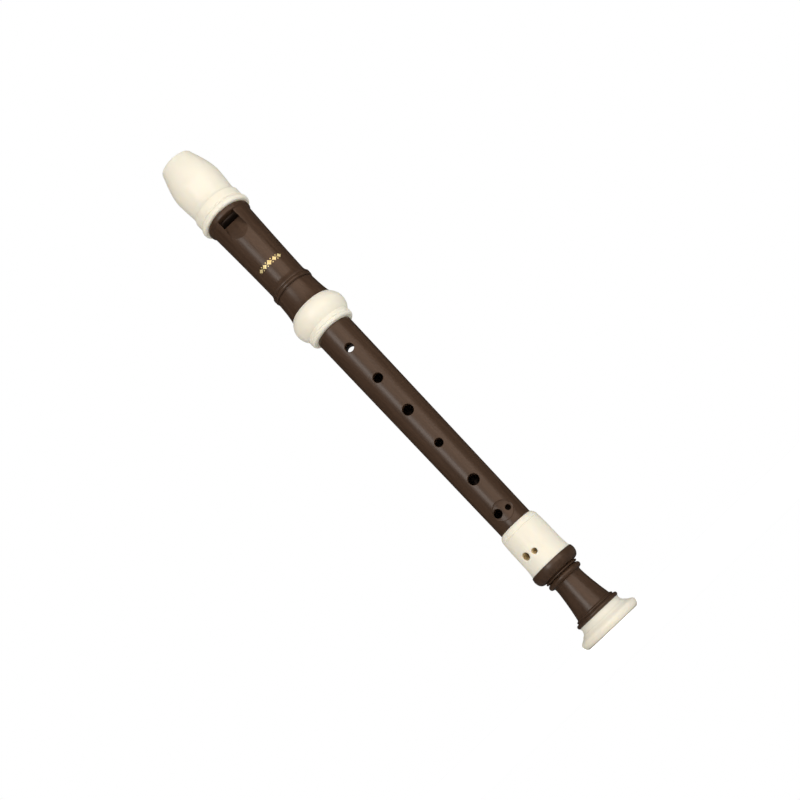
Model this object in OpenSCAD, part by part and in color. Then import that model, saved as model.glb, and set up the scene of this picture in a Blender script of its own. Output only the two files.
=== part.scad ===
// Soprano recorder in three joints, standing upright on its foot.
// The bore runs along Z and the origin is the middle of the foot's bottom.
// The window and the finger holes face -Y, the thumb hole faces +Y.
// The head joint and the foot joint both turn and pull on plain tenons.

/* [Joints] */
// Length of the foot joint, from its bottom to the middle joint's shoulder
foot_len = 66.5; // [64:0.1:69]
// Length of the middle joint between its two shoulders
middle_len = 134.6; // [132:0.1:138]
// Length of the head joint, from its ring's bottom to the beak's tip
head_len = 128.9; // [127:0.1:132]
// Length of the tenon that goes into the head joint
head_tenon_len = 25; // [20:0.1:25]
// Length of the tenon that goes into the foot joint
foot_tenon_len = 10.8; // [8:0.1:10.8]
// Radial clearance between pieces that turn or slide on each other
fit = 0.05; // [0.02:0.01:0.08]

/* [Outside radii] */
// Radius of the middle joint at its lower shoulder
middle_r_low = 9.3; // [9:0.05:9.7]
// Radius of the middle joint at its upper shoulder
middle_r_top = 10.45; // [10:0.05:10.8]
// Widest radius of the foot's bell
bell_r = 16.95; // [16.4:0.05:17.5]
// Widest radius of the foot's turned collar
collar_r = 12.75; // [12.4:0.05:13]
// Widest radius of the head's ring bulb
bulb_r = 15.55; // [15.2:0.05:16]
// Widest radius of the beak's bulge
beak_r = 14.2; // [13.9:0.1:14.5]
// Radius of the beak's tip
tip_r = 9.9; // [9.7:0.05:10.4]

/* [Bore] */
// Bore radius of the foot body
foot_bore_r = 5.5; // [5.3:0.05:5.8]
// Bore radius of the foot sleeve beside the lowest finger holes
sleeve_bore_r = 5.3; // [5.1:0.05:5.5]
// Bore radius of the middle joint at its lower end
middle_bore_low = 5; // [4.8:0.05:5.2]
// Bore radius of the middle joint at its upper end
middle_bore_top = 6.4; // [6.2:0.05:6.6]
// Bore radius of the head joint
head_bore_r = 6.6; // [6.5:0.05:6.8]
// Radius of the tenon that goes into the head joint
head_tenon_r = 8.6; // [8.4:0.05:8.8]
// Radius of the tenon that goes into the foot joint
foot_tenon_r = 7.8; // [7.5:0.05:8]

/* [Voicing] */
// Width of the windway and of the window
windway_w = 10.2; // [9.6:0.1:10.6]
// Height of the windway where the air leaves it
windway_h = 1.4; // [1:0.05:1.5]
// Distance from the bore's axis to the windway's roof at the window
roof_y = 8.3; // [8.2:0.05:8.5]
// Length of the window along the bore
window_h = 3.8; // [3.4:0.1:4.2]
// Length of the sloping ramp below the window
ramp_len = 13; // [11:0.1:14]
// Width of the ramp at its lower end
ramp_w = 11.2; // [10.8:0.1:11.8]

/* [Finger holes] */
// Height of hole 1
hole_1_z = 186.2; // [185:0.1:187]
// Diameter of hole 1
hole_1_d = 4.7; // [4:0.1:5.4]
// Height of hole 2
hole_2_z = 164.8; // [163:0.1:166]
// Diameter of hole 2
hole_2_d = 5.1; // [4.4:0.1:5.8]
// Height of hole 3
hole_3_z = 142.6; // [141:0.1:144]
// Diameter of hole 3
hole_3_d = 5.7; // [5:0.1:6.4]
// Height of hole 4
hole_4_z = 120.1; // [118:0.1:121]
// Diameter of hole 4
hole_4_d = 4.4; // [3.8:0.1:5.2]
// Height of hole 5
hole_5_z = 95.3; // [93:0.1:97]
// Diameter of hole 5
hole_5_d = 5.7; // [5:0.1:6.4]
// Height of the two small holes 6
hole_6_z = 74.8; // [73.8:0.1:75.5]
// Diameter of the larger hole 6
hole_6_big_d = 4.5; // [4.1:0.1:4.6]
// Diameter of the smaller hole 6
hole_6_small_d = 2.9; // [2.5:0.1:3.1]
// Distance between the middles of the two holes 6
hole_6_gap = 5.6; // [5.2:0.1:5.7]
// Height of the two small holes 7
hole_7_z = 50.9; // [50:0.1:52]
// Diameter of the larger hole 7
hole_7_big_d = 4.1; // [3.8:0.1:4.4]
// Diameter of the smaller hole 7
hole_7_small_d = 3; // [2.6:0.1:3.2]
// Distance between the middles of the two holes 7
hole_7_gap = 5.2; // [4.8:0.1:5.6]
// Turn of the foot's holes about the bore, towards the little finger's larger hole
foot_turn = -26; // [-32:1:0]
// Height of the thumb hole
thumb_z = 189.2; // [188:0.1:190.5]
// Diameter of the thumb hole
thumb_d = 5.4; // [4.8:0.1:6]

/* [Hidden] */

brown = [0.33, 0.26, 0.22];
ivory = [0.96, 0.93, 0.85];
round_fn = 120;
over = 1;

// Heights of the joints' shoulders and of the beak's tip.
shoulder_z = foot_len;
ring_z = foot_len + middle_len;
top_z = ring_z + head_len;

// Foot joint: the bell sits round the body's lower spigot, and the sleeve
// turns on the upper one.
bell_len = 9.7;
bell_flat_r = bell_r - 2.4;
bell_recess_r = 11;
bell_recess = 0.8;
lower_spigot_r = 8;
lower_spigot_z = 1.2;
mouth_chamfer = 0.5;
collar_z = 42;
upper_spigot_r = 8.2;
upper_spigot_len = 5.5;
foot_bead_r = 1.45;
foot_bead_z = 32.8;
foot_ring_z = 35.1;
foot_ring_r = 0.5;
sleeve_band_len = 3.7;
sleeve_r = 11.25;

// Head joint.
ferrule_len = 17.1;
ferrule_lip = 2;
ferrule_bore_r = 11.2;
ferrule_bead = 2;
ferrule_band_r = 13.3;
bulb_arc_r = 8.5;
bulb_z = 10.5;
bulb_angle = 45;
socket_end_r = 12.75;
socket_len = 25.4;
cap_z = top_z - 43.8;
neck_r = 11;
neck_len = 12.5;
collar_len = 3.1;
head_collar_r = 13.1;
window_top_z = cap_z - collar_len;
block_recess = 0.4;
cut_recess = 0.2;
beak_cut_r = 52;
beak_tip_y = 1.5;
front_trim_r = 46;
front_axis_y = 4;
tip_arch_r = 80;
tip_arch_len = 3;

// Windway: its roof and floor lean towards the bore on the way to the tip.
windway_lean = 2.2;
entry_extra_h = 0.4;
labium_y = roof_y - 0.3;
labium_edge = 0.35;
ramp_rise = 4.15;
undercut_len = 4;
block_chamfer = 0.5;

// How far the two holes of a pair lie above and below their middle.
pair_drop = 0.45;

// The round recess that holes 6 lie in.
recess_r = 5.2;
recess_depth = 0.4;

// Points on a circle's arc, from angle a0 to a1.
function arc(c, r, a0, a1, n = 10) =
    [for (i = [0:n]) let (a = a0 + (a1 - a0) * i / n) c + r * [cos(a), sin(a)]];

// Points on a curve that leaves p0 towards p1 and reaches p2 from p1.
function bend(p0, p1, p2, n = 10) =
    [for (i = [0:n]) let (t = i / n) (1 - t) * (1 - t) * p0 + 2 * t * (1 - t) * p1 + t * t * p2];

// Outside radius of the middle joint at height z.
function middle_r(z) =
    middle_r_low + (middle_r_top - middle_r_low) * (z - shoulder_z) / middle_len;

module lathe(points) rotate_extrude($fn = round_fn) polygon(points);

module ring(r_in, r_out, z0, z1) {
    translate([0, 0, z0]) difference() {
        cylinder(r = r_out, h = z1 - z0, $fn = round_fn);
        translate([0, 0, -over]) cylinder(r = r_in, h = z1 - z0 + 2 * over, $fn = round_fn);
    }
}

// One hole through the front wall, turned about the bore, with its axis
// aside of the bore's.
module front_hole(z, d, turn = 0, aside = 0) {
    rotate([0, 0, turn]) translate([aside, 0, z]) rotate([90, 0, 0])
        cylinder(d = d, h = 2 * bell_r, $fn = 48);
}

// The larger hole of a pair, and the smaller one a little lower to its right.
// The two are parallel.
module hole_pair(z, big_d, small_d, gap, turn = 0) {
    front_hole(z + pair_drop, big_d, turn, -gap / 2);
    front_hole(z - pair_drop, small_d, turn, gap / 2);
}

// A side view drawn in Y and Z, made w wide across X.
module across(w) {
    rotate([90, 0, 90]) translate([0, 0, -w / 2]) linear_extrude(w) children();
}

module foot_bell() color(ivory) lathe(concat(
    [[lower_spigot_r, bell_recess], [bell_recess_r, bell_recess],
     [bell_recess_r + 0.4, 0]],
    bend([bell_flat_r, 0], [bell_r - 0.4, 0.05], [bell_r, 2.6]),
    bend([bell_r, 2.8], [bell_r, 3.9], [bell_r - 2, 4.9]),
    bend([bell_r - 2.1, 4.95], [bell_r - 3.1, 5.5], [bell_r - 3.5, 6.2], 5),
    bend([bell_r - 3.7, 6.25], [bell_r - 4.7, 6.7], [bell_r - 5.1, 8.1]),
    bend([bell_r - 5.1, 8.2], [bell_r - 5.3, 9.1], [bell_r - 4.8, bell_len], 5),
    [[lower_spigot_r, bell_len]]));

module foot_body() color(brown) lathe(concat(
    [[foot_bore_r, lower_spigot_z + mouth_chamfer],
     [foot_bore_r + mouth_chamfer, lower_spigot_z],
     [lower_spigot_r, lower_spigot_z], [lower_spigot_r, bell_len]],
    arc([11.6, bell_len + 1.05], 1.05, -90, 90),
    bend([11, bell_len + 2.2], [11.4, bell_len + 2.7], [11, bell_len + 3.2], 5),
    [[10.6, bell_len + 3.3]],
    bend([10.1, bell_len + 3.6], [8.8, 19.5], [8.1, 26]),
    bend([8.08, 26.2], [7.75, 28.6], [7.8, 31]),
    arc([8.3, foot_bead_z], foot_bead_r, -90, 90),
    [[8, foot_bead_z + foot_bead_r + 0.1], [8, foot_ring_z - foot_ring_r - 0.1]],
    arc([9, foot_ring_z], foot_ring_r, -90, 90, 6),
    [[8.8, foot_ring_z + 0.65]],
    bend([9.3, collar_z - 6.1], [collar_r - 0.3, collar_z - 5.9], [collar_r, collar_z - 2.1]),
    bend([collar_r, collar_z - 1.9], [collar_r - 0.1, collar_z - 0.7], [collar_r - 0.4, collar_z], 5),
    [[upper_spigot_r, collar_z], [upper_spigot_r, collar_z + upper_spigot_len],
     [foot_bore_r, collar_z + upper_spigot_len]]));

// The sleeve is bored for the body's spigot, for the air and for the tenon.
module foot_sleeve() color(ivory) difference() {
    band_z = foot_len - sleeve_band_len;
    recess_z = collar_z + upper_spigot_len + fit;
    socket_z = foot_len - 11;
    lathe(concat(
        [[upper_spigot_r + fit, collar_z]],
        bend([sleeve_r + 0.8, collar_z], [sleeve_r + 0.2, collar_z + 2], [sleeve_r + 0.1, collar_z + 6]),
        bend([sleeve_r + 0.1, collar_z + 10], [sleeve_r + 0.1, band_z - 5], [sleeve_r - 0.15, band_z]),
        [[sleeve_r - 0.35, band_z + 0.1], [sleeve_r - 0.35, band_z + 0.3]],
        bend([sleeve_r - 0.15, band_z + 0.4], [sleeve_r - 0.3, foot_len - 1.1], [sleeve_r - 1.6, foot_len]),
        [[foot_tenon_r + fit, foot_len], [foot_tenon_r + fit, socket_z],
         [sleeve_bore_r, socket_z], [sleeve_bore_r, recess_z],
         [upper_spigot_r + fit, recess_z]]));
    hole_pair(hole_7_z, hole_7_big_d, hole_7_small_d, hole_7_gap, foot_turn);
}

// Each tenon has two lands at its full radius with a shallow relief between.
module middle_tube() color(brown) difference() {
    low_z = shoulder_z - foot_tenon_len;
    high_z = ring_z + head_tenon_len;
    land = 3;
    relief = 0.15;
    lathe([[middle_bore_low, low_z],
        [foot_tenon_r - 0.4, low_z], [foot_tenon_r, low_z + 0.5],
        [foot_tenon_r, low_z + land], [foot_tenon_r - relief, low_z + land + 0.2],
        [foot_tenon_r - relief, shoulder_z - land - 0.2], [foot_tenon_r, shoulder_z - land],
        [foot_tenon_r, shoulder_z],
        [middle_r_low, shoulder_z], [middle_r_top, ring_z],
        [head_tenon_r, ring_z],
        [head_tenon_r, ring_z + land], [head_tenon_r - relief, ring_z + land + 0.2],
        [head_tenon_r - relief, high_z - land - 0.2], [head_tenon_r, high_z - land],
        [head_tenon_r, high_z - 0.5], [head_tenon_r - 0.4, high_z],
        [middle_bore_top, high_z]]);
    front_hole(hole_1_z, hole_1_d);
    front_hole(hole_2_z, hole_2_d);
    front_hole(hole_3_z, hole_3_d);
    front_hole(hole_4_z, hole_4_d);
    front_hole(hole_5_z, hole_5_d);
    hole_pair(hole_6_z, hole_6_big_d, hole_6_small_d, hole_6_gap);
    front_hole(thumb_z, thumb_d, 180);
    // The pair of holes 6 lies in a shallow round recess.
    intersection() {
        front_hole(hole_6_z, 2 * recess_r);
        ring(middle_r(hole_6_z) - recess_depth, middle_r(hole_6_z) + over,
            hole_6_z - recess_r - over, hole_6_z + recess_r + over);
    }
}

module head_ferrule() color(ivory) lathe(concat(
    [[head_tenon_r + fit, ring_z]],
    bend([ferrule_band_r - 2, ring_z], [ferrule_band_r - 0.2, ring_z],
         [ferrule_band_r - 0.1, ring_z + 1.5], 6),
    [[ferrule_band_r - 0.15, ring_z + ferrule_bead - 0.2],
     [ferrule_band_r - 0.35, ring_z + ferrule_bead],
     [ferrule_band_r - 0.1, ring_z + ferrule_bead + 0.2],
     [ferrule_band_r, ring_z + ferrule_bead + 0.6]],
    arc([bulb_r - bulb_arc_r, ring_z + bulb_z], bulb_arc_r, -bulb_angle, bulb_angle + 3, 16),
    [[socket_end_r, ring_z + ferrule_len],
     [ferrule_bore_r + fit, ring_z + ferrule_len],
     [ferrule_bore_r + fit, ring_z + ferrule_lip],
     [head_tenon_r + fit, ring_z + ferrule_lip]]));

// Everything that is cut away along the windway, down to the block's bore.
module windway_slot() across(windway_w) polygon([
    [-roof_y, window_top_z], [-3, window_top_z], [-3, top_z + over],
    [-roof_y + windway_lean, top_z + over]]);

// Side view of the space below the window: the ramp outside and the short
// undercut inside, which meet at the labium's edge.
module ramp_side() {
    labium_z = window_top_z - window_h;
    polygon([
        [-labium_y, labium_z], [-bell_r, labium_z],
        [-bell_r, labium_z - ramp_len * (bell_r - labium_y) / ramp_rise]]);
    polygon([
        [-labium_y + labium_edge, labium_z], [0, labium_z],
        [0, labium_z - undercut_len], [-head_bore_r + 0.6, labium_z - undercut_len]]);
}

// The ramp's side walls spread a little on the way down.
module ramp_cut() intersection() {
    across(2 * bell_r) ramp_side();
    translate([0, -bell_r - over, 0]) rotate([-90, 0, 0]) linear_extrude(bell_r + over)
        polygon([
            [-windway_w / 2, -window_top_z], [windway_w / 2, -window_top_z],
            [ramp_w / 2, -window_top_z + window_h + ramp_len],
            [-ramp_w / 2, -window_top_z + window_h + ramp_len]]);
}

module head_tube() color(brown) difference() {
    spigot_z = ring_z + ferrule_lip + 0.1;
    socket_z = ring_z + socket_len;
    end_z = ring_z + ferrule_len;
    groove_z = ring_z + 30.1;
    lathe(concat(
        [[head_tenon_r + fit, spigot_z], [ferrule_bore_r, spigot_z],
         [ferrule_bore_r, end_z]],
        bend([socket_end_r, end_z], [11.7, end_z + 4], [11.4, groove_z - 0.2]),
        [[10.7, groove_z], [10.7, groove_z + 0.5]],
        arc([10.8, groove_z + 1.5], 1.1, -65, 45, 8),
        [[11.55, groove_z + 2.45], [11.95, groove_z + 2.7]],
        bend([11.95, groove_z + 3.3], [11.2, groove_z + 4.2], [10.9, groove_z + 6.2], 6),
        bend([10.92, groove_z + 8], [11.35, cap_z - 26], [12.2, window_top_z - 1.1], 12),
        bend([12.25, window_top_z - 0.8], [12.35, window_top_z],
             [head_collar_r - 0.3, window_top_z + 0.2], 6),
        bend([head_collar_r - 0.15, window_top_z + 0.25], [head_collar_r, window_top_z + 0.4],
             [head_collar_r, window_top_z + 1.2], 4),
        [[head_collar_r, cap_z - 0.5], [head_collar_r - 0.35, cap_z - 0.4],
         [head_collar_r - 0.35, cap_z], [neck_r, cap_z], [neck_r, cap_z + neck_len],
         [head_bore_r, cap_z + neck_len], [head_bore_r, socket_z],
         [head_tenon_r + fit, socket_z]]));
    windway_slot();
    translate([-windway_w / 2, -bell_r, window_top_z - window_h])
        cube([windway_w, bell_r - 3, window_h]);
    ramp_cut();
}

// The curved cut-away at the back of the beak, which the lower lip rests on.
module beak_cut(extra = 0) {
    translate([-bell_r, beak_tip_y + beak_cut_r, top_z + 2]) rotate([0, 90, 0])
        cylinder(r = beak_cut_r + extra, h = 2 * bell_r, $fn = 180);
}

// What is trimmed off the front, where the beak thins towards its tip. The
// trimmed face is rounded about an axis a little behind the bore's.
module front_trim() {
    trim_z = cap_z + 20;
    translate([0, front_axis_y, 0]) rotate_extrude($fn = round_fn) difference() {
        translate([0, trim_z]) square([2 * bell_r, top_z - trim_z + over]);
        translate([front_axis_y + beak_r - front_trim_r, trim_z])
            circle(r = front_trim_r, $fn = 180);
    }
}

// What is cut off above the tip, which is arched when seen from the front.
module tip_arch(recess = 0) {
    difference() {
        translate([-bell_r, -bell_r, top_z - tip_arch_len])
            cube([2 * bell_r, 2 * bell_r, tip_arch_len + over]);
        translate([0, bell_r + over, top_z - recess - tip_arch_r]) rotate([90, 0, 0])
            cylinder(r = tip_arch_r, h = 2 * bell_r + 2 * over, $fn = 180);
    }
}

module beak_cap() color(ivory) difference() {
    rim_r = beak_r + 0.85;
    lathe(concat(
        [[neck_r, cap_z], [rim_r - 1.6, cap_z]],
        bend([rim_r - 1.4, cap_z], [rim_r, cap_z + 0.1], [rim_r, cap_z + 1.6], 6),
        bend([rim_r, cap_z + 1.7], [rim_r, cap_z + 3], [beak_r - 0.2, cap_z + 3.4], 6),
        [[beak_r - 0.35, cap_z + 3.6], [beak_r - 0.35, cap_z + 4],
         [beak_r - 0.05, cap_z + 4.2], [beak_r, cap_z + 8.6]],
        bend([beak_r - 0.2, cap_z + 9], [beak_r - 0.9, cap_z + 9.6], [beak_r - 0.9, cap_z + 12.6]),
        bend([beak_r - 0.88, cap_z + 13], [beak_r - 0.3, cap_z + 18.5], [beak_r - 0.05, cap_z + 24]),
        bend([beak_r - 0.03, cap_z + 24.4], [beak_r - 0.15, cap_z + 30], [tip_r + 0.8, top_z - 4], 14),
        bend([tip_r + 0.25, top_z - 2], [tip_r - 0.1, top_z - 0.3], [tip_r - 1.6, top_z], 6),
        [[head_bore_r, top_z], [head_bore_r, cap_z + neck_len], [neck_r, cap_z + neck_len]]));
    windway_slot();
    beak_cut();
    front_trim();
    tip_arch();
}

// The block closes the bore and its flat top is the windway's floor, with a
// small chamfer where the air leaves it.
module block() color(brown) difference() {
    floor_low = windway_h - roof_y;
    floor_top = floor_low + windway_lean + entry_extra_h;
    block_len = top_z - window_top_z;
    union() {
        translate([0, 0, window_top_z])
            cylinder(r = head_bore_r, h = block_len, $fn = round_fn);
        translate([-windway_w / 2, -roof_y, window_top_z]) cube([windway_w, roof_y, block_len]);
    }
    across(windway_w) polygon([
        [-bell_r, window_top_z - over], [floor_low + block_chamfer, window_top_z - over],
        [floor_low + block_chamfer, window_top_z], [floor_low, window_top_z + block_chamfer],
        [floor_top, top_z + over], [-bell_r, top_z + over]]);
    beak_cut(cut_recess);
    tip_arch(block_recess);
}

foot_bell();
foot_body();
foot_sleeve();
middle_tube();
head_ferrule();
head_tube();
beak_cap();
block();
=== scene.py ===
# Looks of the soprano recorder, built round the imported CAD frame.
import math

import bmesh
import bpy
from mathutils import Matrix, Vector
from mathutils.bvhtree import BVHTree


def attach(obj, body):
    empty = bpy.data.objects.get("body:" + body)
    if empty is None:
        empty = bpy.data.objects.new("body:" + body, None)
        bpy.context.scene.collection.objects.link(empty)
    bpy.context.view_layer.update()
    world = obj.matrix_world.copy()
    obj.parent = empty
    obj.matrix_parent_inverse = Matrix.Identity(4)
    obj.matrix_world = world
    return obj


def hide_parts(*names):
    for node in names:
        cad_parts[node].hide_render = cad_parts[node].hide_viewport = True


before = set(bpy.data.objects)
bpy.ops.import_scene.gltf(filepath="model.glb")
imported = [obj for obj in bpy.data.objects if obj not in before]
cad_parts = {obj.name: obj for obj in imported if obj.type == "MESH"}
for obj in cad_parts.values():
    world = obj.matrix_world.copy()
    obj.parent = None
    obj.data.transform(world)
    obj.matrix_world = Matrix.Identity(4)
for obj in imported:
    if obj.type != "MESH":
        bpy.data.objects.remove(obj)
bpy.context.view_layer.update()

MM = 0.001
scene = bpy.context.scene

# ---------------------------------------------------------------- camera

CAM_X = 0.0004
CAM_Y = -0.6116          # metres, in front of the finger holes
CAM_Z = 0.003            # just above the floor
CAM_PITCH = math.radians(13.622)
CAM_LENS = 56.7
SENSOR_WIDTH = 36.0
UP_IN_IMAGE = Vector((-0.68591, 0.72769))    # where the bore's +Z points in the picture, y up

camera_data = bpy.data.cameras.new("camera")
camera_data.lens = CAM_LENS
camera_data.sensor_width = SENSOR_WIDTH
camera = bpy.data.objects.new("camera", camera_data)
scene.collection.objects.link(camera)
forward = Vector((0, math.cos(CAM_PITCH), math.sin(CAM_PITCH)))
right = Vector((1, 0, 0))
up = right.cross(forward)
# The camera is rolled, so that the upright recorder lies across the picture.
cam_right = right * UP_IN_IMAGE.y + up * UP_IN_IMAGE.x
cam_up = forward.cross(cam_right) * -1
basis = Matrix((cam_right, cam_up, -forward)).transposed()
camera.matrix_world = Matrix.Translation((CAM_X, CAM_Y, CAM_Z)) @ basis.to_4x4()
scene.camera = camera

# ---------------------------------------------------------------- sizes, mm

FOOT_LEN = 66.5
BELL_LEN = 9.7
RING_Z = 201.1           # lower end of the head joint
TOP_Z = 330.0
CAP_Z = TOP_Z - 43.8     # where the beak cap ends and the brown head tube shows

BELL_R = 16.95
SLEEVE_R = 11.25
COLLAR_R = 12.75
MIDDLE_R_LOW = 9.3
MIDDLE_R_TOP = 10.45
BULB_R = 15.55
BULB_ARC_R = 8.5
BEAK_R = 14.2
RIM_R = 15.05
FOOT_TENON_R = 7.8
HEAD_TENON_R = 8.6
HEAD_BORE_R = 6.6
TIP_ARCH_R = 80

WINDOW_TOP = CAP_Z - 3.1
WINDOW_H = 3.8
WINDWAY_W = 10.2
WINDWAY_LEAN = 2.2       # how far the windway's roof comes inwards towards the tip
LABIUM_Z = WINDOW_TOP - WINDOW_H
LABIUM_Y = 8.0
ROOF_Y = 8.3

HOLES = [(186.2, 4.7), (164.8, 5.1), (142.6, 5.7), (120.1, 4.4), (95.3, 5.7)]    # height, diameter
THUMB_HOLE = (189.2, 5.4)
HOLE_PAIR_Z = 74.8
PAIR_TURN_FOOT = -26     # degrees the little finger's holes are turned from the front
PAIR_STEP = 0.45         # how much higher the big hole of a pair sits than the pair's middle


def arc(cx, cz, r, a0, a1, n=16):
    """Points on a circle's arc, from angle a0 to a1 in degrees."""
    return [(cx + r * math.cos(math.radians(a0 + (a1 - a0) * i / n)),
             cz + r * math.sin(math.radians(a0 + (a1 - a0) * i / n)))
            for i in range(n + 1)]


def bend(p0, p1, p2, n=16):
    """Points on a curve that leaves p0 towards p1 and reaches p2 from p1."""
    return [tuple((1 - t) ** 2 * a + 2 * t * (1 - t) * b + t * t * c
                  for a, b, c in zip(p0, p1, p2))
            for t in [i / n for i in range(n + 1)]]


def soften(points, radius, sharp=20.0, steps=4):
    """Rounds every corner of a closed outline that turns more than sharp degrees."""
    out = []
    count = len(points)
    for i, p in enumerate(points):
        p = Vector(p)
        a, b = Vector(points[i - 1]) - p, Vector(points[(i + 1) % count]) - p
        turn = 180 - math.degrees(a.angle(b)) if a.length > 1e-6 and b.length > 1e-6 else 0
        if turn < sharp:
            out.append(tuple(p))
            continue
        cut = min(radius * math.tan(math.radians(turn / 2)), a.length * 0.45, b.length * 0.45)
        start, end = p + a.normalized() * cut, p + b.normalized() * cut
        out += bend(tuple(start), tuple(p), tuple(end), steps)
    return out


def split_long(points, longest):
    """Adds points where a closed outline has a side longer than longest."""
    out = []
    for i, p in enumerate(points):
        q = points[(i + 1) % len(points)]
        parts = max(1, math.ceil(math.dist(p, q) / longest))
        out += [tuple(a + (b - a) * k / parts for a, b in zip(p, q)) for k in range(parts)]
    return out


# ---------------------------------------------------------------- mesh tools

SEGMENTS = 160


def finish_mesh(bm, name, sharp_deg=35.0):
    """Turns a bmesh in millimetres into an object in metres, smooth but for its sharp edges."""
    bmesh.ops.scale(bm, vec=(MM, MM, MM), verts=bm.verts)
    mesh = bpy.data.meshes.new(name)
    bm.to_mesh(mesh)
    bm.free()
    mesh.polygons.foreach_set("use_smooth", [True] * len(mesh.polygons))
    mesh.set_sharp_from_angle(angle=math.radians(sharp_deg))
    obj = bpy.data.objects.new(name, mesh)
    scene.collection.objects.link(obj)
    return obj


def ring_mesh(rings, closed_loop):
    """A bmesh of rings with the same number of points. closed_loop joins the last to the first."""
    bm = bmesh.new()
    rows = [[bm.verts.new(p) for p in ring] for ring in rings]
    count = len(rows[0])
    pairs = list(zip(rows, rows[1:]))
    if closed_loop:
        pairs.append((rows[-1], rows[0]))
    for low, high in pairs:
        for i in range(count):
            j = (i + 1) % count
            bm.faces.new((low[i], low[j], high[j], high[i]))
    if not closed_loop:
        bm.faces.new(rows[0][::-1])
        bm.faces.new(rows[-1])
    bmesh.ops.recalc_face_normals(bm, faces=bm.faces)
    return bm


def round_points(r, z, segments=SEGMENTS):
    return [(r * math.sin(2 * math.pi * i / segments),
             -r * math.cos(2 * math.pi * i / segments), z) for i in range(segments)]


def lathe(name, outline, radius=0.25, longest=6.0):
    """A closed outline of (radius, height) turned about Z, its corners rounded."""
    outline = split_long(soften(outline, radius), longest)
    return finish_mesh(ring_mesh([round_points(r, z) for r, z in outline], True), name)


def prism(name, outline, along, half, to_point):
    """A closed outline, drawn in two axes, made 2 * half wide; to_point places (a, b, w)."""
    rings = [[to_point(a, b, w) for a, b in outline] for w in (along - half, along + half)]
    return finish_mesh(ring_mesh(rings, False), name)


def side_prism(name, outline, width):
    """A side view drawn in Y and Z, made width wide across X."""
    return prism(name, outline, 0.0, width / 2, lambda a, b, w: (w, a, b))


def boolean(obj, cutters, operation="DIFFERENCE"):
    """Cuts obj with each cutter in turn, applies it and removes the cutters."""
    for cutter in cutters:
        modifier = obj.modifiers.new("cut", "BOOLEAN")
        modifier.operation = operation
        modifier.solver = "EXACT"
        modifier.object = cutter
        bpy.context.view_layer.update()
        graph = bpy.context.evaluated_depsgraph_get()
        made = bpy.data.meshes.new_from_object(obj.evaluated_get(graph))
        obj.modifiers.clear()
        old = obj.data
        obj.data = made
        bpy.data.meshes.remove(old)
        bpy.data.objects.remove(cutter)
    obj.data.name = obj.name
    return obj


def copy_of(obj, name):
    twin = bpy.data.objects.new(name, obj.data.copy())
    scene.collection.objects.link(twin)
    return twin


def shade_like(obj, model, sharp_deg=35.0):
    """Gives the faces of obj that lie on model the smooth normals that model has there, so that
    a cut leaves no marks in the shading round it."""
    mesh = obj.data
    mesh.set_sharp_from_angle(angle=math.radians(sharp_deg))
    source = model.data
    source.calc_loop_triangles()
    corner_normals = [Vector(n.vector) for n in source.corner_normals]
    triangles = [t.loops for t in source.loop_triangles]
    points = [v.co.copy() for v in source.vertices]
    tree = BVHTree.FromPolygons(points, [t.vertices for t in source.loop_triangles], epsilon=0.0)
    loops = source.loops
    normals = [Vector(n.vector) for n in mesh.corner_normals]
    for face in mesh.polygons:
        centre = Vector(face.center)
        hit, direction, index, distance = tree.find_nearest(centre)
        if hit is None or distance > 0.02 * MM or direction.dot(face.normal) < 0.97:
            continue
        for k in face.loop_indices:
            corner = mesh.vertices[mesh.loops[k].vertex_index].co
            spot, flat, found, away = tree.find_nearest(corner)
            if away > 0.005 * MM:
                continue
            a, b, c = triangles[found]
            weights = barycentric(spot, *(points[loops[i].vertex_index] for i in (a, b, c)))
            normal = sum((corner_normals[i] * w for i, w in zip((a, b, c), weights)), Vector())
            if normal.dot(face.normal) > 0.6 * normal.length:
                normals[k] = normal.normalized()
    mesh.normals_split_custom_set(normals)
    bpy.data.objects.remove(model)
    return obj


def barycentric(p, a, b, c):
    ab, ac, ap = b - a, c - a, p - a
    d00, d01, d11 = ab.dot(ab), ab.dot(ac), ac.dot(ac)
    d20, d21 = ap.dot(ab), ap.dot(ac)
    base = d00 * d11 - d01 * d01
    if abs(base) < 1e-30:
        return 1.0, 0.0, 0.0
    v = (d11 * d20 - d01 * d21) / base
    w = (d00 * d21 - d01 * d20) / base
    return 1 - v - w, v, w


def hole_cutter(name, z, diameter, turn, surface, aside=0.0, flare=0.35, depth=8.0, steps=6):
    """A cutter whose mouth follows the tube's surface, so that the hole's edge is evenly rounded.
    surface(z) is the tube's radius, and aside is how far the hole's axis misses the bore's."""
    start = 15.0
    half = diameter / 2
    edge = math.radians(start)
    edge_rho = half + flare - flare * math.sin(edge)
    edge_h = -flare + flare * math.cos(edge)
    out = 0.9 * flare
    profile = [(edge_rho + out * math.cos(edge), 1.5),
               (edge_rho + out * math.cos(edge), edge_h + out * math.sin(edge))]
    for k in range(steps + 1):
        a = math.radians(start + (90 - start) * k / steps)
        profile.append((half + flare - flare * math.sin(a), -flare + flare * math.cos(a)))
    profile.append((half, -depth))
    count = 72
    a = math.radians(turn)
    outward, tangent = Vector((math.sin(a), -math.cos(a), 0)), Vector((math.cos(a), math.sin(a), 0))
    rings = []
    for rho, h in profile:
        ring = []
        for i in range(count):
            phi = 2 * math.pi * i / count
            across, rise = aside + rho * math.cos(phi), rho * math.sin(phi)
            if abs(h) > 1:
                reach = surface(z) + h
            else:
                reach = math.sqrt(surface(z + rise) ** 2 - across ** 2) + h
            p = outward * reach + tangent * across
            ring.append((p.x, p.y, z + rise))
        rings.append(ring)
    return finish_mesh(ring_mesh(rings, False), name)


# ---------------------------------------------------------------- foot joint

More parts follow.
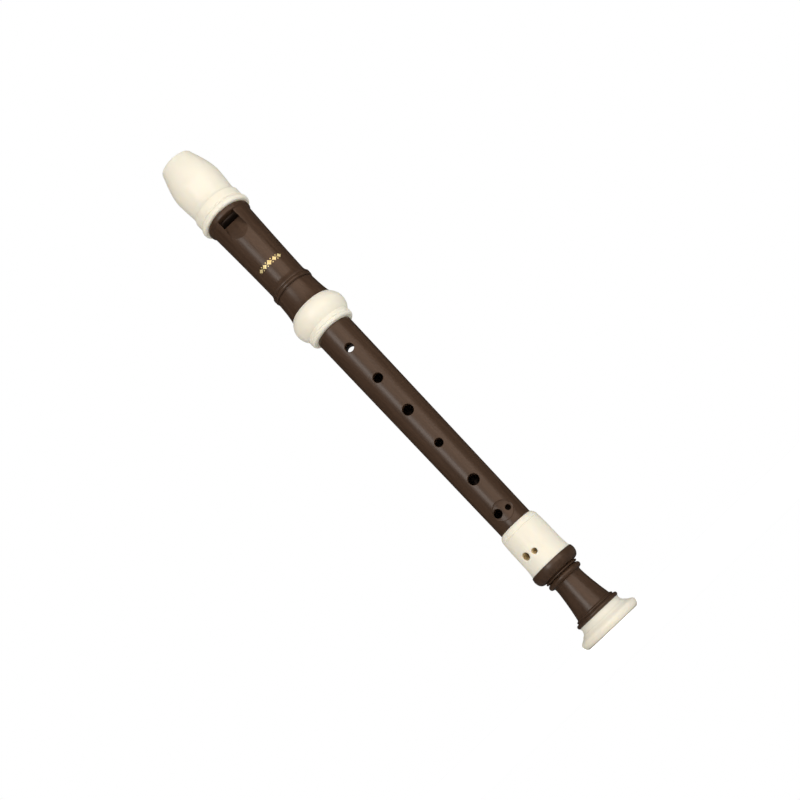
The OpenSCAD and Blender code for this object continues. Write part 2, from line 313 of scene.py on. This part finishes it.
def middle_r(z):
    """The middle joint's radius at height z."""
    share = (z - FOOT_LEN) / (RING_Z - FOOT_LEN)
    return MIDDLE_R_LOW + (MIDDLE_R_TOP - MIDDLE_R_LOW) * share


def make_foot_bell():
    b = BELL_R
    return lathe("bell_ring", [(8.0, 0.8), (11.0, 0.8), (11.4, 0.0)]
                 + bend((b - 2.4, 0), (b - 0.4, 0.05), (b, 2.6))
                 + bend((b, 2.8), (b, 3.9), (b - 2, 4.9))
                 + bend((b - 2.1, 4.95), (b - 3.1, 5.5), (b - 3.5, 6.2), 8)
                 + bend((b - 3.7, 6.25), (b - 4.7, 6.7), (b - 5.1, 8.1))
                 + bend((b - 5.1, 8.2), (b - 5.3, 9.1), (b - 4.8, BELL_LEN), 8)
                 + [(8.0, BELL_LEN)], 0.15)


def make_foot_body():
    z = BELL_LEN
    return lathe("foot_turning", [(5.5, 1.7), (6.0, 1.2), (7.98, 1.2), (7.98, z)]
                 + arc(11.6, z + 1.05, 1.05, -90, 90, 20)
                 + bend((11, z + 2.2), (11.4, z + 2.7), (11, z + 3.2), 8)
                 + [(10.6, z + 3.3)]
                 + bend((10.1, z + 3.6), (8.8, 19.5), (8.1, 26), 28)
                 + bend((8.08, 26.2), (7.75, 28.6), (7.8, 31))
                 + arc(8.3, 32.8, 1.45, -90, 90, 20)
                 + [(8, 34.35), (8, 34.5)]
                 + arc(9.0, 35.1, 0.5, -90, 90, 12)
                 + [(8.8, 35.75)]
                 + bend((9.3, 35.9), (12.45, 36.1), (COLLAR_R, 39.9))
                 + bend((COLLAR_R, 40.1), (12.65, 41.3), (12.35, 42), 8)
                 + [(8.2, 42), (8.2, 47.5), (5.5, 47.5)], 0.15)


def sleeve_surface(z):
    """The sleeve's radius where its holes are. It hardly changes there, so z isn't used."""
    return 11.33


def make_foot_sleeve():
    s, band = SLEEVE_R, FOOT_LEN - 3.7
    outline = ([(8.25, 42.0)]
               + bend((s + 0.8, 42), (s + 0.2, 44), (s + 0.1, 48))
               + bend((s + 0.1, 52), (s + 0.1, band - 5), (s - 0.15, band))
               + [(s - 0.35, band + 0.1), (s - 0.35, band + 0.3)]
               + bend((s - 0.15, band + 0.4), (s - 0.3, FOOT_LEN - 1.1), (s - 1.6, FOOT_LEN))
               + [(7.85, FOOT_LEN), (7.85, 55.5), (5.3, 55.5), (5.3, 47.55), (8.25, 47.55)])
    sleeve = lathe("foot_sleeve_shell", outline, 0.12, 1.5)
    model = copy_of(sleeve, "model")
    boolean(sleeve, [
        hole_cutter("hole", 51.35, 4.1, PAIR_TURN_FOOT, sleeve_surface, -2.6, 0.5, 9.5),
        hole_cutter("hole", 50.45, 3.0, PAIR_TURN_FOOT, sleeve_surface, 2.6, 0.45, 9.5)])
    return shade_like(sleeve, model)


# ---------------------------------------------------------------- middle joint

def recess_cutter(name, z, radius, depth, surface):
    """A shallow dish that follows the tube's surface and fades out at its rim."""
    blend, shallow = 0.35, 0.5 * depth
    profile = [(radius + blend + 0.6, None), (radius + blend + 0.6, 0.14 + 0.4),
               (radius + blend, 0.14)]
    steps = 8
    for k in range(1, steps + 1):
        a = math.pi * k / steps
        profile.append((radius + blend - 2 * blend * k / steps,
                        0.14 - (shallow + 0.14) * (1 - math.cos(a)) / 2))
    inner = radius - blend
    for share in (0.85, 0.7, 0.55, 0.4, 0.25, 0.1):
        profile.append((inner * share, -shallow - (depth - shallow) * (1 - share * share)))
    rings = []
    count = 96
    for rho, h in profile:
        ring = []
        for i in range(count):
            phi = 2 * math.pi * i / count
            x, dz = rho * math.cos(phi), rho * math.sin(phi)
            reach = surface(z) + 1.5 if h is None else math.sqrt(surface(z + dz) ** 2 - x * x) + h
            ring.append((x, -reach, z + dz))
        rings.append(ring)
    return finish_mesh(ring_mesh(rings, False), name)


def recess_floor(z):
    """Roughly how far out the recess's floor lies, where the pair of holes opens."""
    return middle_r(z) - 0.35


def make_middle_tube():
    low, high = 55.7, 226.1          # the tenons' ends
    land, relief = 3.0, 0.15         # each tenon bears on two lands and is slimmer between them
    foot_r, tenon_r = FOOT_TENON_R, HEAD_TENON_R
    outline = [(5.0, low), (7.4, low), (foot_r, low + 0.5), (foot_r, low + land),
               (foot_r - relief, low + land + 0.2), (foot_r - relief, FOOT_LEN - land - 0.2),
               (foot_r, FOOT_LEN - land), (foot_r, FOOT_LEN),
               (MIDDLE_R_LOW, FOOT_LEN), (MIDDLE_R_TOP, RING_Z),
               (tenon_r, RING_Z), (tenon_r, RING_Z + land),
               (tenon_r - relief, RING_Z + land + 0.2), (tenon_r - relief, high - land - 0.2),
               (tenon_r, high - land), (tenon_r, high - 0.5), (8.2, high), (6.4, high)]
    tube = lathe("middle_joint", outline, 0.15, 2.0)
    model = copy_of(tube, "model")
    big_z, small_z = HOLE_PAIR_Z + PAIR_STEP, HOLE_PAIR_Z - PAIR_STEP
    boolean(tube, [recess_cutter("recess", HOLE_PAIR_Z, 5.2, 0.55, middle_r)]
            + [hole_cutter("hole", z, d, 0, middle_r) for z, d in HOLES]
            + [hole_cutter("hole", big_z, 4.5, 0, recess_floor, -2.8, 0.3, 9.5),
               hole_cutter("hole", small_z, 2.9, 0, recess_floor, 2.8, 0.3, 9.5),
               hole_cutter("hole", *THUMB_HOLE, 180, middle_r)])
    return shade_like(tube, model)


# ---------------------------------------------------------------- head joint

def make_ferrule():
    r = RING_Z
    return lathe("head_ring", [(8.65, r)]
                 + bend((11.3, r), (13.1, r), (13.2, r + 1.5), 10)
                 + [(13.15, r + 1.8), (12.95, r + 2), (13.2, r + 2.2), (13.3, r + 2.6)]
                 + arc(BULB_R - BULB_ARC_R, r + 10.5, BULB_ARC_R, -45, 48, 40)
                 + [(12.75, r + 17.1), (11.25, r + 17.1), (11.25, r + 2), (8.65, r + 2)], 0.1)


def head_flank():
    """The head tube's outline between the bead and the collar, where the foil also lies."""
    return bend((10.92, RING_Z + 38.1), (11.35, CAP_Z - 26), (12.2, WINDOW_TOP - 1.1), 40)


def head_outline():
    socket, end, groove = RING_Z + 25.4, RING_Z + 17.1, RING_Z + 30.1
    return ([(8.65, RING_Z + 2.1), (11.2, RING_Z + 2.1), (11.2, end)]
            + bend((12.75, end), (11.7, end + 4), (11.4, groove - 0.2))
            + [(10.7, groove), (10.7, groove + 0.5)]
            + arc(10.8, groove + 1.5, 1.1, -65, 45, 14)
            + [(11.55, groove + 2.45), (11.95, groove + 2.7)]
            + bend((11.95, groove + 3.3), (11.2, groove + 4.2), (10.9, groove + 6.2), 12)
            + head_flank()
            + bend((12.25, WINDOW_TOP - 0.8), (12.35, WINDOW_TOP), (12.8, WINDOW_TOP + 0.2), 8)
            + bend((12.85, WINDOW_TOP + 0.25), (13.1, WINDOW_TOP + 0.4),
                   (13.1, WINDOW_TOP + 1.6), 8)
            + [(13.1, CAP_Z - 0.5), (12.75, CAP_Z - 0.4), (12.75, CAP_Z),
               (10.98, CAP_Z), (10.98, CAP_Z + 12.5), (HEAD_BORE_R, CAP_Z + 12.5),
               (HEAD_BORE_R, socket),
               (8.65, socket)])


def slot_outline(top):
    """Side view of all that is cut away along the windway, down into the bore."""
    lean = WINDWAY_LEAN * (top - WINDOW_TOP) / (TOP_Z + 1 - WINDOW_TOP)
    return [(-ROOF_Y, WINDOW_TOP), (-3, WINDOW_TOP), (-3, top), (-ROOF_Y + lean, top)]


def make_head_tube():
    tube = lathe("head_joint", head_outline(), 0.12, 1.5)
    model = copy_of(tube, "model")
    slot = side_prism("slot", slot_outline(CAP_Z + 14), WINDWAY_W)
    window = side_prism("window", [(-16, LABIUM_Z), (-3, LABIUM_Z), (-3, WINDOW_TOP + 0.02),
                                   (-16, WINDOW_TOP + 0.02)], WINDWAY_W)
    undercut = side_prism("undercut", [(-LABIUM_Y + 0.35, LABIUM_Z + 0.02), (0, LABIUM_Z + 0.02),
                                       (0, LABIUM_Z - 4), (-6.0, LABIUM_Z - 4)], WINDWAY_W)
    ramp_len, rise, low_w = 13.0, 4.15, 11.2
    foot_z = LABIUM_Z - ramp_len * (16 - LABIUM_Y) / rise

    def width_at(z):
        share = (WINDOW_TOP - z) / (WINDOW_H + ramp_len)
        return (WINDWAY_W + (low_w - WINDWAY_W) * share) / 2

    corners = [(-16, foot_z), (-16, LABIUM_Z + 0.02), (-LABIUM_Y, LABIUM_Z + 0.02),
               (-LABIUM_Y, LABIUM_Z)]
    ramp = finish_mesh(ring_mesh([[(side * width_at(z), y, z) for y, z in corners]
                                  for side in (-1, 1)], False), "ramp")
    boolean(tube, [slot, window, undercut, ramp])
    return shade_like(tube, model)


# The beak's outside is found by marching out from a line inside it: it is the turned shape,
# less the curved cut at the back, the trimmed front and the arched tip, with rounded edges.

def smooth_max(a, b, k):
    if k <= 0:
        return max(a, b)
    h = max(k - abs(a - b), 0) / k
    return max(a, b) + h * h * k / 4


CAP_SIDE = (bend((14.0, CAP_Z + 9), (13.3, CAP_Z + 10.0), (13.3, CAP_Z + 12.6), 12)
            + bend((13.32, CAP_Z + 13), (13.9, CAP_Z + 18.5), (14.15, CAP_Z + 24), 12)
            + bend((14.17, CAP_Z + 24.4), (14.05, CAP_Z + 30), (10.7, TOP_Z - 4), 24)
            + [(9.5, TOP_Z), (9.2, TOP_Z + 1)])


def cap_side_r(z):
    for (r0, z0), (r1, z1) in zip(CAP_SIDE, CAP_SIDE[1:]):
        if z0 <= z <= z1:
            return r0 + (r1 - r0) * (z - z0) / max(z1 - z0, 1e-9)
    return CAP_SIDE[0][0] if z < CAP_SIDE[0][1] else CAP_SIDE[-1][0]


def beak_field(x, y, z):
    """Below zero inside the beak."""
    trim_z = CAP_Z + 20
    side = math.hypot(x, y) - cap_side_r(z)
    front = math.hypot(math.hypot(x, y - 4) + 27.8, max(z - trim_z, 0)) - 46
    value = smooth_max(side, front, 0.8 * min(max((z - trim_z) / 12, 0), 1))
    back = 52 - math.hypot(y - 53.5, z - (TOP_Z + 2))
    value = smooth_max(value, back, 0.9)
    tip = math.hypot(x, z - (TOP_Z - TIP_ARCH_R)) - TIP_ARCH_R
    return smooth_max(value, tip, 1.1)


def march(origin, direction, inset):
    """Distance from origin along direction to where the beak ends, less inset."""
    near, far = 0.0, 30.0
    for _ in range(40):
        half = (near + far) / 2
        p = [o + d * half for o, d in zip(origin, direction)]
        if beak_field(*p) < -inset:
            near = half
        else:
            far = half
    return near


def beak_rings(z_low, inset):
    """Rings of points up the beak's side from z_low and over its tip."""
    tip_z, rings = TOP_Z - 5, []
    levels = 70
    for k in range(levels + 1):
        z = z_low + (tip_z - z_low) * k / levels
        share = (z - z_low) / (tip_z - z_low)
        centre = (0.0, -3.0 * share * share * (3 - 2 * share), z)
        ring = []
        for x, y, _ in round_points(1, 0):
            t = march(centre, (x, y, 0), inset)
            ring.append((centre[0] + x * t, centre[1] + y * t, z))
        rings.append(ring)
    tip_steps = 26
    for k in range(1, tip_steps + 1):
        rise = math.radians(89.0 * k / tip_steps)
        ring = []
        for x, y, _ in round_points(1, 0):
            d = (x * math.cos(rise), y * math.cos(rise), math.sin(rise))
            t = march((0, -3.0, tip_z), d, inset)
            ring.append((d[0] * t, -3.0 + d[1] * t, tip_z + d[2] * t))
        rings.append(ring)
    return rings


def core_cutters(bore_r):
    """What the beak cap is hollowed with: the block's bore and the windway."""
    ends = [round_points(bore_r, CAP_Z + 12), round_points(bore_r, TOP_Z + 3)]
    bore = finish_mesh(ring_mesh(ends, False), "bore")
    slot = side_prism("slot", slot_outline(TOP_Z + 1), WINDWAY_W)
    return [bore, slot]


def make_beak_cap():
    rim, b, join_z = RIM_R, BEAK_R, CAP_Z + 10.8
    low = ([(10.98, CAP_Z), (rim - 1.6, CAP_Z)]
           + bend((rim - 1.4, CAP_Z), (rim, CAP_Z + 0.1), (rim, CAP_Z + 1.6), 10)
           + bend((rim, CAP_Z + 1.7), (rim, CAP_Z + 3), (b - 0.2, CAP_Z + 3.4), 10)
           + [(b - 0.28, CAP_Z + 3.6), (b - 0.28, CAP_Z + 4), (b - 0.05, CAP_Z + 4.3),
              (b, CAP_Z + 8.6)])
    low = soften(low + [(b - 0.2, CAP_Z + 9.0), (0, CAP_Z + 9.0), (0, CAP_Z)], 0.12)
    low = [p for p in low if p[0] > 10.5]
    rings = [round_points(r, z) for r, z in low]
    side = [p for p in CAP_SIDE if CAP_Z + 9.0 <= p[1] < join_z]
    rings += [round_points(r, z) for r, z in side]
    rings += beak_rings(join_z, 0.0)
    cap = finish_mesh(ring_mesh(rings, False), "beak_shell")
    model = copy_of(cap, "model")
    neck = finish_mesh(ring_mesh([round_points(11.0, CAP_Z - 2), round_points(11.0, CAP_Z + 12.5)],
                                 False), "neck")
    boolean(cap, [neck] + core_cutters(HEAD_BORE_R))
    return shade_like(cap, model)


def make_block():
    floor_low, floor_top = 1.4 - ROOF_Y, 1.4 - ROOF_Y + WINDWAY_LEAN + 0.4
    top = TOP_Z + 1
    core = finish_mesh(ring_mesh([round_points(6.57, WINDOW_TOP), round_points(6.57, top)], False),
                       "windway_block")
    tongue = side_prism("tongue", [(-8, WINDOW_TOP), (-2, WINDOW_TOP), (-2, top), (-8, top)],
                        WINDWAY_W - 0.04)
    boolean(core, [tongue], "UNION")
    boolean(core, [side_prism("clear", [
        (-12, WINDOW_TOP - 1), (floor_low + 0.5, WINDOW_TOP - 1), (floor_low + 0.5, WINDOW_TOP),
        (floor_low, WINDOW_TOP + 0.5), (floor_top, top), (floor_top, top + 1), (-12, top + 1)],
        30.0)])
    rings = [round_points(14, WINDOW_TOP - 1), round_points(14, CAP_Z + 10.7)]
    shell = finish_mesh(ring_mesh(rings + beak_rings(CAP_Z + 10.8, 0.25), False), "shell")
    return boolean(core, [shell], "INTERSECT")


# ---------------------------------------------------------------- gold ornament

def ornament_shape(cx, cz, half_w, half_h, name):
    """A thin lozenge with hollow sides, laid on the head joint's front. Sizes in millimetres."""
    steps, lift = 6, 0.03
    corners = [(half_w, 0), (0, half_h), (-half_w, 0), (0, -half_h)]
    outline = []
    for i, a in enumerate(corners):
        b = corners[(i + 1) % 4]
        pull = (0.38 * (a[0] + b[0]), 0.38 * (a[1] + b[1]))
        outline += bend(a, pull, b, steps)[:-1]
    return outline_on_head(cx, cz, [outline], name, lift)


def head_r(z):
    points = head_flank()
    for (r0, z0), (r1, z1) in zip(points, points[1:]):
        if z0 <= z <= z1:
            return r0 + (r1 - r0) * (z - z0) / (z1 - z0)
    return points[0][0]


def on_head(u, z, lift):
    """The point u millimetres round the tube from the front, at height z."""
    r = head_r(z) + lift
    a = u / head_r(z)
    return (r * math.sin(a), -r * math.cos(a), z)


def outline_on_head(cx, cz, outlines, name, lift):
    """Foil shapes: each outline shrinks to its middle in rings, so that it bends with the tube."""
    bm = bmesh.new()
    for outline in outlines:
        rows = []
        for share, h in ((1.0, -0.02), (1.0, lift), (0.75, lift), (0.5, lift), (0.25, lift)):
            rows.append([bm.verts.new(on_head(cx + a * share, cz + b * share, h))
                         for a, b in outline])
        middle = bm.verts.new(on_head(cx, cz, lift))
        under = bm.verts.new(on_head(cx, cz, -0.02))
        count = len(outline)
        for low, high in zip(rows, rows[1:]):
            for i in range(count):
                j = (i + 1) % count
                bm.faces.new((low[i], low[j], high[j], high[i]))
        for i in range(count):
            j = (i + 1) % count
            bm.faces.new((rows[-1][i], rows[-1][j], middle))
            bm.faces.new((rows[0][j], rows[0][i], under))
    bmesh.ops.recalc_face_normals(bm, faces=bm.faces)
    return finish_mesh(bm, name)


def make_ornament():
    """A plain row of lozenges and dots in gold foil."""
    z, parts = 248.0, []
    for cx, half_w, half_h in ((0, 1.8, 1.65), (-3.35, 1.5, 1.45), (3.35, 1.5, 1.45),
                               (-6.45, 1.5, 1.3), (6.45, 1.5, 1.3)):
        parts.append(ornament_shape(cx, z, half_w, half_h, "part"))
    dot = [(0.32 * math.cos(2 * math.pi * i / 16), 0.32 * math.sin(2 * math.pi * i / 16))
           for i in range(16)]
    for cx in (-4.9, -1.7, 1.7, 4.9):
        for dz in (-1.15, 1.15):
            parts.append(outline_on_head(cx, z + dz, [dot], "part", 0.03))
    return join(parts, "gold_ornament")


def join(parts, name):
    bm = bmesh.new()
    for part in parts:
        bm.from_mesh(part.data)
        bpy.data.objects.remove(part)
    mesh = bpy.data.meshes.new(name)
    bm.to_mesh(mesh)
    bm.free()
    mesh.polygons.foreach_set("use_smooth", [True] * len(mesh.polygons))
    mesh.set_sharp_from_angle(angle=math.radians(35))
    obj = bpy.data.objects.new(name, mesh)
    scene.collection.objects.link(obj)
    return obj


# ---------------------------------------------------------------- materials

class Nodes:
    """A short way to write a node material."""

    def __init__(self, name):
        self.material = bpy.data.materials.new(name)
        self.material.use_nodes = True
        self.tree = self.material.node_tree
        self.shader = self.tree.nodes["Principled BSDF"]
        coords = self.tree.nodes.new("ShaderNodeTexCoord")
        self.coords = coords.outputs["Object"]

    def node(self, kind, inputs=None, **settings):
        made = self.tree.nodes.new(kind)
        for key, value in settings.items():
            setattr(made, key, value)
        for key, value in (inputs or {}).items():
            if isinstance(value, bpy.types.NodeSocket):
                self.tree.links.new(value, made.inputs[key])
            else:
                made.inputs[key].default_value = value
        return made

    def stretched(self, across, along):
        return self.node("ShaderNodeMapping", {"Vector": self.coords,
                                               "Scale": (across, across, along)}).outputs[0]

    def noise(self, vector, scale=1.0, detail=3.0, rough=0.5):
        return self.node("ShaderNodeTexNoise", {"Vector": vector, "Scale": scale,
                                                "Detail": detail, "Roughness": rough}).outputs[0]

    def remap(self, value, a, b, low, high):
        return self.node("ShaderNodeMapRange", {"Value": value, "From Min": a, "From Max": b,
                                                "To Min": low, "To Max": high}).outputs[0]

    def ramp(self, value, stops):
        made = self.node("ShaderNodeValToRGB", {"Fac": value})
        points = made.color_ramp.elements
        while len(points) < len(stops):
            points.new(0.5)
        for point, (place, color) in zip(points, stops):
            point.position = place
            point.color = (*color, 1)
        return made.outputs[0]

    def bump(self, height, distance, strength=1.0, normal=None):
        inputs = {"Height": height, "Distance": distance, "Strength": strength}
        if normal is not None:
            inputs["Normal"] = normal
        return self.node("ShaderNodeBump", inputs).outputs[0]

    def link(self, socket, name):
        self.tree.links.new(socket, self.shader.inputs[name])

    def set(self, **values):
        for key, value in values.items():
            self.shader.inputs[key.replace("_", " ")].default_value = value


def ivory_material(name="ivory_plastic_look", hole_z=None):
    """Ivory plastic. Up to hole_z, inside the wall, the colour is painted a deeper warm tan:
    painted shade in the small holes, warmed the way light through the plastic warms it.
    """
    m = Nodes(name)
    cloud = m.noise(m.coords, 45.0, 3.0, 0.55)
    color = m.ramp(cloud, [(0.25, (0.84, 0.784, 0.65)), (0.75, (0.87, 0.822, 0.70))])
    if hole_z is not None:
        axes = m.node("ShaderNodeSeparateXYZ", {0: m.coords})
        flat = m.node("ShaderNodeCombineXYZ", {0: axes.outputs[0], 1: axes.outputs[1]}).outputs[0]
        radius = m.node("ShaderNodeVectorMath", {0: flat}, operation="LENGTH").outputs["Value"]
        inside = m.remap(radius, 0.0104, 0.0111, 1.0, 0.0)
        below = m.remap(axes.outputs[2], hole_z + 0.004, hole_z + 0.006, 1.0, 0.0)
        # painted shade: the inner wall up to the holes is mixed towards a warm tan, standing in for
        # the shade and warm glow inside the small holes
        painted_hole_shade = m.node("ShaderNodeMath", {0: inside, 1: below}, operation="MULTIPLY").outputs[0]
        color = m.node("ShaderNodeMix", {0: painted_hole_shade, 6: color, 7: (0.86, 0.71, 0.43, 1.0)},
                       data_type="RGBA").outputs[2]
        m.link(m.remap(painted_hole_shade, 0.0, 1.0, 0.28, 0.0), "Subsurface Weight")
    m.link(color, "Base Color")
    haze = m.noise(m.coords, 260.0, 4.0, 0.6)
    m.link(m.remap(haze, 0.3, 0.7, 0.30, 0.38), "Roughness")
    skin = m.noise(m.coords, 1500.0, 2.0, 0.5)
    lines = m.noise(m.stretched(220.0, 2600.0), 1.0, 2.0, 0.5)
    m.link(m.bump(skin, 0.00002, 0.25, m.bump(lines, 0.00002, 0.15)), "Normal")
    m.set(Subsurface_Radius=(1.0, 0.7, 0.4), Subsurface_Scale=0.004, IOR=1.5)
    if hole_z is None:
        m.set(Subsurface_Weight=0.28)
    return m.material


def brown_material():
    m = Nodes("brown_plastic_look")
    streak = m.noise(m.stretched(2600.0, 45.0), 1.0, 4.0, 0.6)
    broad = m.noise(m.stretched(420.0, 16.0), 1.0, 3.0, 0.55)
    mixed = m.node("ShaderNodeMath", {0: streak, 1: broad}, operation="ADD").outputs[0]
    m.link(m.ramp(m.remap(mixed, 0.6, 1.4, 0.0, 1.0),
                  [(0.1, (0.042, 0.0215, 0.0105)), (0.9, (0.070, 0.038, 0.021))]), "Base Color")
    m.link(m.remap(streak, 0.25, 0.75, 0.27, 0.38), "Roughness")
    skin = m.noise(m.coords, 1800.0, 2.0, 0.5)
    m.link(m.bump(streak, 0.00003, 0.35, m.bump(skin, 0.00002, 0.2)), "Normal")
    m.set(IOR=1.5)
    return m.material


def block_material():
    m = Nodes("block_plastic_look")
    grain = m.noise(m.stretched(1200.0, 120.0), 1.0, 3.0, 0.6)
    m.link(m.ramp(grain, [(0.3, (0.06, 0.037, 0.025)), (0.7, (0.10, 0.065, 0.046))]), "Base Color")
    m.link(m.remap(grain, 0.3, 0.7, 0.5, 0.62), "Roughness")
    m.link(m.bump(grain, 0.00003, 0.3), "Normal")
    return m.material


def gold_material():
    m = Nodes("gold_foil_look")
    wear = m.noise(m.coords, 900.0, 3.0, 0.6)
    m.link(m.ramp(wear, [(0.3, (0.80, 0.62, 0.25)), (0.7, (0.94, 0.80, 0.42))]), "Base Color")
    m.link(m.remap(wear, 0.3, 0.7, 0.25, 0.42), "Roughness")
    m.link(m.bump(wear, 0.00002, 0.3), "Normal")
    m.set(Metallic=0.4)
    return m.material


ivory, brown = ivory_material(), brown_material()
pieces = [
    (make_foot_bell, ivory, "foot", "foot_bell", "ivory_plastic"),
    (make_foot_body, brown, "foot", "foot_body", "brown_plastic"),
    # the sleeve's own material has painted shade in its small holes, a warm tan on the inside of
    # the wall
    (make_foot_sleeve, ivory_material("ivory_sleeve_look", 0.051), "foot_sleeve", "foot_sleeve",
     "ivory_plastic"),
    (make_middle_tube, brown, "middle", "middle_tube", "brown_plastic"),
    (make_ferrule, ivory, "head_ring", "head_ferrule", "ivory_plastic"),
    (make_head_tube, brown, "head", "head_tube", "brown_plastic"),
    (make_beak_cap, ivory, "head", "beak_cap", "ivory_plastic"),
    (make_block, block_material(), "head", "block", "block_plastic"),
    (make_ornament, gold_material(), "head", None, "gold_foil"),
]
for make, material, body, node, slot in pieces:
    piece = make()
    piece.data.materials.clear()
    piece.data.materials.append(material)
    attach(piece, body)
    if node:
        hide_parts(node)


# ---------------------------------------------------------------- floor, world and lights

def make_floor():
    bm = bmesh.new()
    bmesh.ops.create_circle(bm, cap_ends=True, segments=96, radius=6.0)
    mesh = bpy.data.meshes.new("floor")
    bm.to_mesh(mesh)
    bm.free()
    floor = bpy.data.objects.new("floor", mesh)
    scene.collection.objects.link(floor)
    m = Nodes("floor_paper")
    grain = m.noise(m.coords, 400.0, 2.0, 0.5)
    paper = m.ramp(grain, [(0.3, (0.90, 0.90, 0.90)), (0.7, (0.93, 0.93, 0.93))])
    rays = m.node("ShaderNodeLightPath").outputs
    seen_in_gloss = m.node("ShaderNodeMix", {"Factor": rays["Is Glossy Ray"]}, data_type="RGBA")
    m.tree.links.new(paper, seen_in_gloss.inputs[6])
    seen_in_gloss.inputs[7].default_value = (0.1, 0.1, 0.1, 1)
    m.link(seen_in_gloss.outputs[2], "Base Color")
    away = m.node("ShaderNodeVectorMath", {0: m.coords}, operation="LENGTH").outputs["Value"]
    glow = m.remap(away, 0.018, 0.035, 0.3, 1.0)
    m.link(m.node("ShaderNodeMath", {0: glow, 1: rays["Is Camera Ray"]},
                  operation="MULTIPLY").outputs[0], "Emission Strength")
    m.set(Roughness=0.9, Emission_Color=(1, 1, 1, 1))
    mesh.materials.append(m.material)


def make_world():
    """White behind the object, dimmer where it lights it, and nearly dark in its gloss."""
    world = bpy.data.worlds.new("world")
    scene.world = world
    world.use_nodes = True
    tree = world.node_tree
    background = tree.nodes["Background"]
    rays = tree.nodes.new("ShaderNodeLightPath")
    fill = tree.nodes.new("ShaderNodeMix")
    fill.inputs["A"].default_value = 0.64
    fill.inputs["B"].default_value = 0.03
    tree.links.new(rays.outputs["Is Glossy Ray"], fill.inputs["Factor"])
    seen = tree.nodes.new("ShaderNodeMix")
    tree.links.new(rays.outputs["Is Camera Ray"], seen.inputs["Factor"])
    tree.links.new(fill.outputs["Result"], seen.inputs["A"])
    seen.inputs["B"].default_value = 1.0
    tree.links.new(seen.outputs["Result"], background.inputs["Strength"])
    background.inputs["Color"].default_value = (1, 1, 1, 1)


def area_light(name, place, aim, width, height, power, color=(1, 1, 1)):
    data = bpy.data.lights.new(name, "AREA")
    data.shape = "RECTANGLE"
    data.size, data.size_y = width, height
    data.energy = power
    data.color = color
    light = bpy.data.objects.new(name, data)
    scene.collection.objects.link(light)
    light.location = place
    light.rotation_euler = (Vector(aim) - Vector(place)).to_track_quat("-Z", "Y").to_euler()
    return light


make_floor()
make_world()
area_light("key", (-0.38, -0.92, 0.26), (0, 0, 0.13), 0.36, 0.9, 3.6, (1.0, 0.94, 0.89))
fill_light = area_light("fill", (0.8, -0.85, 0.18), (0, 0, 0.13), 0.5, 0.9, 5.8)
fill_light.visible_glossy = False
sheen = area_light("sheen", (0.45, -0.95, 0.45), (0, 0, 0.17), 1.1, 0.9, 4.2, (1.0, 0.76, 0.6))
sheen.visible_diffuse = False
area_light("top", (0.0, 0.1, 1.3), (0, 0, 0.0), 1.2, 1.2, 0.8)
scene.view_settings.view_transform = "Standard"
